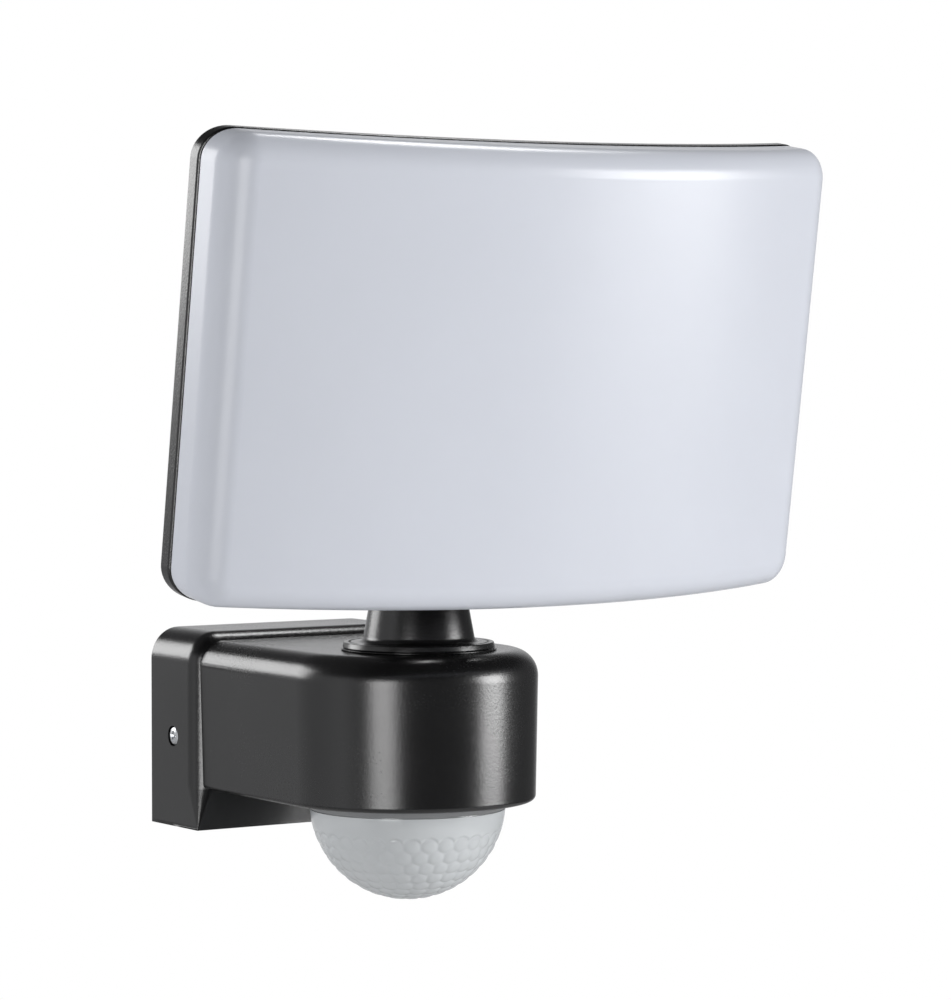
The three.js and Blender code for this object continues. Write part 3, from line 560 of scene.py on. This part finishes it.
def sensor_dome():
    rows, columns = 150, 408
    start = math.degrees(math.asin((DOME_Z - RING_BOTTOM + 0.3) / DOME_RADIUS))
    points, faces, rings = [], [], []

    def add_ring(radius, z, relief=None):
        rings.append(len(points))
        for k in range(columns):
            longitude = 360.0 * k / columns
            sink = relief(longitude) if relief else 0.0
            angle = math.radians(longitude)
            scale = 1 - sink / DOME_RADIUS
            points.append((
                radius * scale * math.cos(angle),
                NOSE_Y + radius * scale * math.sin(angle),
                DOME_Z + (z - DOME_Z) * scale,
            ))

    for radius, z in ((COLLAR - 1, BOARD_TOP), (COLLAR, BOARD_TOP), (COLLAR, RING_BOTTOM - 0.3)):
        add_ring(radius, z)
    for k in range(rows):
        latitude = start + (89.4 - start) * k / (rows - 1)
        turn = math.radians(latitude)
        hidden = latitude < CELL_TOP - 5
        add_ring(
            DOME_RADIUS * math.cos(turn), DOME_Z - DOME_RADIUS * math.sin(turn),
            None if hidden else lambda longitude, at=latitude: lens_relief(at, longitude),
        )
    outer_pole = len(points)
    points.append((0, NOSE_Y, DOME_Z - DOME_RADIUS))
    last_outer = rings[-1]
    inner = DOME_RADIUS - 1.1
    first_inner = len(rings)
    for k in range(30, -1, -1):
        turn = math.radians(start + 3 + (87 - start - 3) * k / 30)
        add_ring(inner * math.cos(turn), DOME_Z - inner * math.sin(turn))
    inner_pole = len(points)
    points.append((0, NOSE_Y, DOME_Z - inner))

    for index, (low, high) in enumerate(zip(rings, rings[1:] + rings[:1])):
        if index == first_inner - 1:
            continue
        for k in range(columns):
            j = (k + 1) % columns
            faces.append((low + k, low + j, high + j, high + k))
    for k in range(columns):
        j = (k + 1) % columns
        faces.append((last_outer + k, last_outer + j, outer_pole))
        faces.append((rings[first_inner] + j, rings[first_inner] + k, inner_pole))
    dome = make_object("sensor_lens_dome", points, faces)
    dome.data.shade_smooth()
    dome.data.set_sharp_from_angle(angle=math.radians(50))
    return finish(dome, "base", "sensor_lens", lens, "sensor_dome")


def sensor_ring():
    profile = [
        (COLLAR + 0.4, ARM_BOTTOM - 0.35), (32.8, ARM_BOTTOM - 0.35), (33.0, ARM_BOTTOM - 0.6),
        (32.75, -21.4), (32.45, -21.9), (32.2, RING_BOTTOM), (COLLAR + 0.4, RING_BOTTOM),
    ]
    ring = lathe("sensor_ring_trim", profile, (0, NOSE_Y, 0), 160)
    shade(ring)
    return finish(ring, "base", "grey_plastic", grey_plastic, "sensor_ring")


# ------------------------------------------------------------------ under cover and dials

def under_cover():
    outline = arm_outline(WALL + 0.4 + ARM_DRAFT, BOX_FRONT - 0.6)
    levels = (ARM_BOTTOM + 0.05, COVER_TOP)
    cover = loft("under_cover_plate", [[(x, y, z) for x, y in outline] for z in levels])
    cut_from(cover, rod("lens_hole", (0, NOSE_Y, -24), (0, NOSE_Y, -12), COLLAR + 0.3, 128))
    for x in DIALS.values():
        cut_from(
            cover,
            rod("dial_hole", (x, DIAL_Y, -24), (x, DIAL_Y, -12), 5.3, 64),
            rod("dial_well", (x, DIAL_Y, -24), (x, DIAL_Y, ARM_BOTTOM + 0.55), 6.6, 64),
        )
        for k in range(9):
            angle = math.radians(-135 + 270 * k / 8 - 90)
            long = 2.3 if k % 4 == 0 else 1.4
            ends = [(x + r * math.cos(angle), DIAL_Y + r * math.sin(angle)) for r in (7.3, 7.3 + long)]
            cut_from(cover, engraved_bar(ends, 0.32))
    for side in (-1, 1):
        cut_from(
            cover,
            cover_screw_rod("screw_hole", side, -24, -12, 1.8, 32),
            cover_screw_rod("screw_well", side, -24, ARM_BOTTOM + 1.2, 3.4, 48),
        )
    cut_marks(cover)
    soften(cover, 0.15, angle=40)
    return finish(cover, "base", "black_plastic", black_plastic, "under_cover")


def engraved_bar(ends, half):
    """A cutter for a short straight groove in the cover's underside."""
    (x0, y0), (x1, y1) = ends
    along = Vector((x1 - x0, y1 - y0)).normalized()
    side = Vector((-along.y, along.x)) * half
    corners = [
        (x0 + side.x, y0 + side.y), (x1 + side.x, y1 + side.y),
        (x1 - side.x, y1 - side.y), (x0 - side.x, y0 - side.y),
    ]
    return loft("groove", [[(x, y, z) for x, y in corners] for z in (ARM_BOTTOM - 1, ARM_BOTTOM + 0.4)])


def cut_marks(cover):
    """Plus and minus signs at the ends of each dial's scale."""
    for x in DIALS.values():
        low, high = x - 8.2, x + 8.2
        y = DIAL_Y + 8.6
        cut_from(
            cover,
            engraved_bar(((low - 1.1, y), (low + 1.1, y)), 0.3),
            engraved_bar(((high - 1.1, y), (high + 1.1, y)), 0.3),
            engraved_bar(((high, y - 1.1), (high, y + 1.1)), 0.3),
        )


def dials():
    face = ARM_BOTTOM - 1.6
    for name, x in DIALS.items():
        profile = [
            (0, face + 0.25), (3.6, face + 0.25), (3.9, face), (4.5, face), (4.85, face + 0.35),
            (4.85, face + 3), (1.5, face + 3), (1.5, -9.4), (0, -9.4),
        ]
        knob = lathe(f"{name}_dial_knob", profile, (x, DIAL_Y, 0), 96)
        for k in range(18):
            angle = 2 * math.pi * k / 18
            cx, cy = x + 5.15 * math.cos(angle), DIAL_Y + 5.15 * math.sin(angle)
            cut_from(knob, rod("flute", (cx, cy, face - 1), (cx, cy, face + 2.2), 0.55, 16))
        low = face - 2
        cut_from(
            knob,
            rounded_box("slot", (x - 3.1, DIAL_Y - 0.6, low), (x + 3.1, DIAL_Y + 0.6, face + 1.1), 0.3),
            rounded_box("pointer", (x - 0.35, DIAL_Y - 4.6, low), (x + 0.35, DIAL_Y - 3.0, face + 0.5), 0.15),
        )
        shade(knob, 30)
        finish(knob, f"{name}_dial", "grey_plastic", grey_plastic, f"{name}_dial")


# ------------------------------------------------------------------ swivel and neck

def quarter(radius, centre, start, steps=8):
    """Points of a quarter circle, from `start` degrees, anticlockwise."""
    angles = [math.radians(start + 90 * k / steps) for k in range(steps + 1)]
    return [(centre[0] + radius * math.cos(a), centre[1] + radius * math.sin(a)) for a in angles]


def swivel_seat():
    low = ARM_TOP + 0.3
    profile = [(12.4, low), (25.3, low)] + quarter(0.2, (25.3, low + 0.2), -90, 4)
    profile += quarter(0.25, (25.25, SEAT_TOP - 0.25), 0, 4) + [(12.4, SEAT_TOP)]
    seat = lathe("swivel_seat_ring", profile, (0, NECK_Y, 0), 160)
    shade(seat)
    return finish(seat, "base", "black_plastic", black_casting, "swivel_seat")


def neck():
    low = SEAT_TOP + 0.3
    foot = [
        (18.1 + 2.2 * (1 - math.sin(a)), FLANGE_TOP + 2.2 * (1 - math.cos(a)))
        for a in [k / 8 * math.pi / 2 for k in range(9)]
    ]
    profile = [(0, 14), (11.4, 14), (12, 14.6), (12, low), (24.8, low)]
    profile += quarter(0.15, (24.8, low + 0.15), -90, 4) + quarter(0.3, (24.3, FLANGE_TOP - 0.3), 0, 5)
    groove = FLANGE_TOP - 0.45
    profile += [(23.2, FLANGE_TOP), (22.95, groove), (22.55, groove), (22.3, FLANGE_TOP)]
    profile += foot + quarter(2.5, (12.2, 53.5), 0) + [(0, 56)]
    column = lathe("neck_column", profile, (0, NECK_Y, 0), 160)
    stem = rounded_box("stem", (-10.3, NECK_Y - 10, 50), (2.3, NECK_Y + 10, 76), 1.2)
    barrel_profile = [(0, -10.5), (11.9, -10.5), (12.45, -9.95), (12.45, 1.95), (11.9, 2.5), (0, 2.5)]
    barrel = lathe("barrel", barrel_profile, (0, NECK_Y, PIVOT_Z), 96, axis="X")
    add_to(column, stem, barrel)
    cut_from(
        column,
        rod("bolt_hole", (-14, NECK_Y, PIVOT_Z), (6, NECK_Y, PIVOT_Z), 3.3),
        rod("lead_bore", (0, NECK_Y, 12), (6.5, NECK_Y - 7.8, 57.5), 2.6),
    )
    weld(column)
    shade(column, 30)
    return finish(column, "neck", "black_casting", black_casting, "neck")


def tilt_fasteners():
    bolt = rod("tilt_bolt_body", (-20.8, NECK_Y, PIVOT_Z), (25.6, NECK_Y, PIVOT_Z), 3.0, 64)
    head_profile = [(0, -24.6), (4.6, -24.6), (5.35, -23.9), (5.35, -20.6), (0, -20.6)]
    head = lathe("bolt_head", head_profile, (0, NECK_Y, PIVOT_Z), 72, axis="X")
    add_to(bolt, head)
    cut_from(bolt, rod("hex_key", (-27, NECK_Y, PIVOT_Z), (-22.2, NECK_Y, PIVOT_Z), 2.9, 6))
    thread_profile = [(2.75, -0.12), (3.4, -0.2), (3.4, 0.2), (2.75, 0.12)]
    for k in range(8):
        x = 24.9 - 0.5 * k
        cut_from(bolt, lathe("thread", thread_profile, (x, NECK_Y, PIVOT_Z), 48, axis="X"))
    shade(bolt, 28)
    finish(bolt, "head", "steel", steel, "tilt_bolt")
    nut = rod("tilt_nut_body", (20.6, NECK_Y, PIVOT_Z), (24.6, NECK_Y, PIVOT_Z), 5.75, 6)
    cut_from(nut, rod("thread_hole", (18, NECK_Y, PIVOT_Z), (28, NECK_Y, PIVOT_Z), 3.25, 48))
    soften(nut, 0.4, angle=40)
    finish(nut, "head", "steel", steel, "tilt_nut")


# ------------------------------------------------------------------ light panel

def rear_y(x):
    return PANEL_RADIUS - math.sqrt(PANEL_RADIUS ** 2 - x ** 2)


def front_y(x):
    return rear_y(x) - PANEL_DEPTH


def panel_ring(inset, height, corner_steps=14, columns=56):
    """The panel's outline along its top from left to right, then back along its bottom."""
    half_width, half_height = PANEL_WIDTH / 2 - inset, PANEL_HEIGHT / 2 - inset
    corner = max(PANEL_CORNER - inset, 0.5)
    left = []
    for k in range(corner_steps + 1):
        angle = k / corner_steps * math.pi / 2
        across, down = corner * (1 - math.cos(angle)), corner * (1 - math.sin(angle))
        left.append((-half_width + across, half_height - down))
    flat = half_width - corner
    middle = [(-flat + 2 * flat * k / columns, half_height) for k in range(1, columns)]
    top = left + middle + [(-x, z) for x, z in reversed(left)]
    return [(x, height(x), z) for x, z in top] + [(x, height(x), -z) for x, z in reversed(top)]


def panel_body(name, layers):
    return loft(name, [panel_ring(inset, height) for inset, height in layers], cap="strips")


def offset_rear(depth):
    return lambda x: rear_y(x) - depth


def lean_out(piece):
    piece.data.transform(Matrix.Translation(lean.translation * MM) @ lean.to_3x3().to_4x4())
    return piece


HEAD_SCREW_SPOTS = [(x, z) for x in (-HEAD_SCREW_X, HEAD_SCREW_X) for z in (-HEAD_SCREW_Z, HEAD_SCREW_Z)]
POD_HALF, POD_BOTTOM, POD_TOP, POD_REAR = 42.0, -64.0, -1.0, 32.9


def lug(side):
    """One hinge ear: a round end on the pivot that widens into the pod."""
    outline = [(POD_REAR - 3, pivot.z + 22), (POD_REAR - 3, pivot.z - 8)]
    for k in range(33):
        angle = -1.8 + 3.6 * k / 32
        outline.append((pivot.y + 11.95 * math.cos(angle), pivot.z + 11.95 * math.sin(angle)))
    low, high = (11.35, 20.25) if side > 0 else (-20.25, -11.35)
    rings = []
    centre_y = sum(y for y, _ in outline) / len(outline)
    centre_z = sum(z for _, z in outline) / len(outline)
    for x, shrink in ((low, 0.96), (low + 0.7, 1.0), (high - 0.7, 1.0), (high, 0.96)):
        rings.append([
            (x, centre_y + (y - centre_y) * shrink, centre_z + (z - centre_z) * shrink) for y, z in outline
        ])
    return loft("lug", rings)


def cooling_fins():
    fins = []
    for k in range(10):
        x = -54 + 12 * k
        fins.append(rounded_box("fin", (x - 1.15, rear_y(x) - 1, 4), (x + 1.15, 14.9, 61.8), 0.9))
    return fins


def head_back():
    edge = edge_steps(0.7, 4)
    layers = [(inset, (lambda x, b=back: rear_y(x) - b)) for inset, back in reversed(edge)]
    layers += [(inset, (lambda x, b=back: rear_y(x) - RIM_DEPTH + b)) for inset, back in edge]
    body = panel_body("head_back_plate", layers)
    cut_from(body, panel_body("tray", [(3, offset_rear(3)), (3, offset_rear(RIM_DEPTH + 3))]))
    add_to(body, rounded_box("pod", (-POD_HALF, -1, POD_BOTTOM), (POD_HALF, POD_REAR, POD_TOP), 3.5, 8))
    add_to(body, *cooling_fins())
    add_to(body, lug(-1), lug(1))
    for x, z in HEAD_SCREW_SPOTS:
        add_to(body, rod("boss", (x, 12.4, z), (x, 19.5, z), 5.4, 48))
        cut_from(
            body,
            rod("counterbore", (x, 17, z), (x, 24, z), 3.55, 48),
            rod("hole", (x, 10, z), (x, 24, z), 1.8, 32),
        )
    inner = POD_HALF - 3.4
    cut_from(
        body,
        rounded_box("pod_room", (-inner, -9, POD_BOTTOM + 4), (inner, POD_REAR - 3, POD_TOP - 4), 1.5),
        rod("pivot_hole", (-30, pivot.y, pivot.z), (30, pivot.y, pivot.z), 3.3, 48),
        rod("lead_hole", (6.5, 24, -46), (6.5, 40, -46), 2.4, 32),
    )
    soften(body, 0)
    lean_out(body)
    return finish(body, "head", "black_casting", black_casting, "head_back")


def diffuser_gasket():
    front, back = offset_rear(RIM_DEPTH + 0.8), offset_rear(RIM_DEPTH + 0.2)
    gasket = panel_body("diffuser_gasket_strip", [(1.0, back), (1.0, front)])
    gap = panel_body("gap", [(3.1, offset_rear(RIM_DEPTH - 1)), (3.1, offset_rear(RIM_DEPTH + 3))])
    cut_from(gasket, gap)
    shade(gasket)
    lean_out(gasket)
    return finish(gasket, "head", "rubber", rubber, "diffuser_gasket")


def diffuser():
    rim = RIM_DEPTH + 1.02
    inset = 0.35

    def shell(extra, skin, radius, back_depth, steps):
        layers = [(inset + extra, offset_rear(back_depth))]
        for step, back in edge_steps(radius, steps):
            layers.append((inset + extra + step, lambda x, b=back: front_y(x) + skin + b))
        return layers

    outer = panel_body("diffuser_shell", shell(0, 0.12, DIFFUSER_EDGE, rim, 20))
    inner_edge = DIFFUSER_EDGE - DIFFUSER_SKIN
    inner = panel_body("hollow", shell(DIFFUSER_SKIN, DIFFUSER_SKIN, inner_edge, rim - 3, 8))
    cut_from(outer, inner)
    for x, z in HEAD_SCREW_SPOTS:
        add_to(outer, rod("post", (x, -1.6, z), (x, 11.3, z), 4.1, 32))
        cut_from(outer, rod("pilot", (x, -0.5, z), (x, 14, z), 1.8, 24))
    shade(outer, 40)
    lean_out(outer)
    return finish(outer, "head", "opal_diffuser", opal, "diffuser")


# ------------------------------------------------------------------ wall side

def wall_bracket():
    plate = rounded_box("wall_bracket_plate", (-40, -2.5, -29), (40, -0.02, 29), 1.1, 4)
    for side in (-1, 1):
        low, high = sorted((side * 37.5, side * 41.8))
        add_to(plate, rounded_box("ear_root", (low, -2.5, CLAMP_Z - 9), (high, -0.05, CLAMP_Z + 9), 0.4, 2))
        low, high = sorted((side * 39.6, side * 41.8))
        add_to(plate, rounded_box("ear", (low, -21, CLAMP_Z - 9), (high, -0.05, CLAMP_Z + 9), 0.8, 3))
        cut_from(
            plate,
            rod("clamp_hole", (side * 35, CLAMP_Y, CLAMP_Z), (side * 46, CLAMP_Y, CLAMP_Z), 1.8, 32),
            slot_cutter(side * 27, 16, upright=True),
            slot_cutter(side * 26, -19, upright=False),
        )
    cut_from(plate, rod("entry", (0, -6, 12), (0, 4, 12), 8, 96))
    soften(plate, 0.2, angle=50)
    return finish(plate, "base", "steel", steel, "wall_bracket")


def slot_cutter(x, z, upright):
    points = []
    for k in range(32):
        angle = 2 * math.pi * k / 32
        dx, dz = 2.5 * math.cos(angle), 2.5 * math.sin(angle)
        stretch = 4.0
        if upright:
            dz += math.copysign(stretch, dz)
        else:
            dx += math.copysign(stretch, dx)
        points.append((x + dx, z + dz))
    return loft("slot", [[(px, y, pz) for px, pz in points] for y in (-6, 4)])


def cable_grommet():
    profile = [(4, 0.05), (7.3, 0.05), (7.6, 0.3), (7.65, 2.9), (9.7, 3.0), (10, 3.3), (10, 3.9), (9.6, 4.3)]
    profile += [(7.6, 5.0), (6.8, 6.8), (6.4, 7.0), (4.4, 7.0), (4, 6.7)]
    grommet = lathe("cable_grommet_ring", profile, (0, 0, 12), 96, axis="Y")
    shade(grommet)
    return finish(grommet, "base", "rubber", rubber, "cable_grommet")


# ------------------------------------------------------------------ build the visible pieces

base_housing()
all_screws()
sensor_dome()
sensor_ring()
under_cover()
dials()
swivel_seat()
neck()
tilt_fasteners()
head_back()
diffuser_gasket()
diffuser()
wall_bracket()
cable_grommet()

slot_of = {entry["node"]: entry["material_slot"] for entry in frame["record"]["subparts"]}
for node, piece in frame["nodes"].items():
    material = BY_SLOT[slot_of[node]]
    if node == "driver_capacitor":
        material = black_plastic
    for place in piece.material_slots:
        place.material = material
    crisp = piece.modifiers.new("edge", "BEVEL")
    crisp.width = 0.15 * MM
    crisp.segments = 2
    crisp.limit_method = "ANGLE"
    crisp.angle_limit = math.radians(40)


# ------------------------------------------------------------------ studio

def area_light(name, place, aim, size, power):
    data = bpy.data.lights.new(name, "AREA")
    data.shape = "RECTANGLE"
    data.size, data.size_y = size
    data.energy = power
    lamp = bpy.data.objects.new(name, data)
    lamp.location = place
    lamp.rotation_euler = (Vector(aim) - Vector(place)).to_track_quat("-Z", "Y").to_euler()
    bpy.context.scene.collection.objects.link(lamp)


def around(azimuth, distance, height):
    """A place round the lamp: azimuth 0 is straight in front, positive to the right as one faces it."""
    angle = math.radians(azimuth)
    return (distance * math.sin(angle), -0.1 - distance * math.cos(angle), height)


AIM = (0, -0.12, 0.04)
area_light("strip_left", around(-54, 5.0, 0.0), AIM, (1.9, 2.7), 118)
area_light("strip_right", around(48, 5.0, 0.575), AIM, (2.2, 2.55), 262)
area_light("overhead", (0.49, 0.22, 1.15), AIM, (0.36, 0.36), 5)
area_light("back_left", (-0.85, 1.35, 0.53), AIM, (0.9, 0.75), 12)


def studio_world():
    """Pale behind the lamp and dim in front, so that flat sides show grey and rounded edges stay black."""
    world = bpy.data.worlds.new("studio")
    world.use_nodes = True
    bpy.context.scene.world = world
    nodes, links = world.node_tree.nodes, world.node_tree.links
    nodes.clear()
    out = nodes.new("ShaderNodeOutputWorld")
    place = nodes.new("ShaderNodeTexCoord")
    parts = nodes.new("ShaderNodeSeparateXYZ")
    toward = nodes.new("ShaderNodeVectorMath")
    toward.operation = "DOT_PRODUCT"
    toward.inputs[1].default_value = (-0.45, 0.89, 0.0)
    ramp = nodes.new("ShaderNodeValToRGB")
    for spot, (place_on, level) in zip(range(4), ((0.1, 0.1), (0.45, 0.75), (0.9, 0.42))):
        if spot > 1:
            ramp.color_ramp.elements.new(place_on)
        ramp.color_ramp.elements[spot].position = place_on
        ramp.color_ramp.elements[spot].color = (level * 0.98, level * 0.985, level, 1)
    high = nodes.new("ShaderNodeMapRange")
    high.interpolation_type = "SMOOTHSTEP"
    high.inputs["From Min"].default_value = 0.25
    high.inputs["From Max"].default_value = 0.5
    high.inputs["To Min"].default_value = 1.25
    high.inputs["To Max"].default_value = 0.15
    links.new(place.outputs["Generated"], toward.inputs[0])
    links.new(toward.outputs["Value"], ramp.inputs["Fac"])
    links.new(place.outputs["Generated"], parts.inputs["Vector"])
    links.new(parts.outputs["Z"], high.inputs["Value"])
    lit = nodes.new("ShaderNodeBackground")
    links.new(ramp.outputs["Color"], lit.inputs["Color"])
    links.new(high.outputs["Result"], lit.inputs["Strength"])
    seen = nodes.new("ShaderNodeBackground")
    seen.inputs["Color"].default_value = (1, 1, 1, 1)
    path = nodes.new("ShaderNodeLightPath")
    mix = nodes.new("ShaderNodeMixShader")
    links.new(path.outputs["Is Camera Ray"], mix.inputs["Fac"])
    links.new(lit.outputs["Background"], mix.inputs[1])
    links.new(seen.outputs["Background"], mix.inputs[2])
    links.new(mix.outputs["Shader"], out.inputs["Surface"])


def pale_floor():
    radius, level = 2.6, -1.15
    count = 96
    points = [(0, 0, level)] + [
        (radius * math.cos(2 * math.pi * k / count), radius * math.sin(2 * math.pi * k / count), level)
        for k in range(count)
    ]
    faces = [(0, 1 + k, 1 + (k + 1) % count) for k in range(count)]
    mesh = bpy.data.meshes.new("floor")
    mesh.from_pydata(points, [], faces)
    floor = bpy.data.objects.new("floor", mesh)
    bpy.context.scene.collection.objects.link(floor)
    paper = moulded("pale_floor", (0.86, 0.86, 0.86), 0.7, grain_mm=4, grain=0.1, mottle=0.01)
    floor.data.materials.append(paper)


CAMERA_AZIMUTH, CAMERA_ELEVATION = -33.66, 2.43
CAMERA_PLACE = (-0.7081, -1.1952, 0.1346)
FOCAL_LENGTH = 144.0


def studio_camera():
    data = bpy.data.cameras.new("camera")
    data.lens = FOCAL_LENGTH
    data.sensor_width = 36.0
    data.sensor_fit = "AUTO"
    data.clip_end = 50.0
    camera = bpy.data.objects.new("camera", data)
    azimuth, elevation = math.radians(CAMERA_AZIMUTH), math.radians(CAMERA_ELEVATION)
    look = Vector((
        -math.sin(azimuth) * math.cos(elevation),
        math.cos(azimuth) * math.cos(elevation),
        -math.sin(elevation),
    ))
    camera.location = CAMERA_PLACE
    camera.rotation_euler = look.to_track_quat("-Z", "Y").to_euler()
    bpy.context.scene.collection.objects.link(camera)
    bpy.context.scene.camera = camera


studio_world()
pale_floor()
studio_camera()
bpy.context.scene.view_settings.view_transform = "Standard"
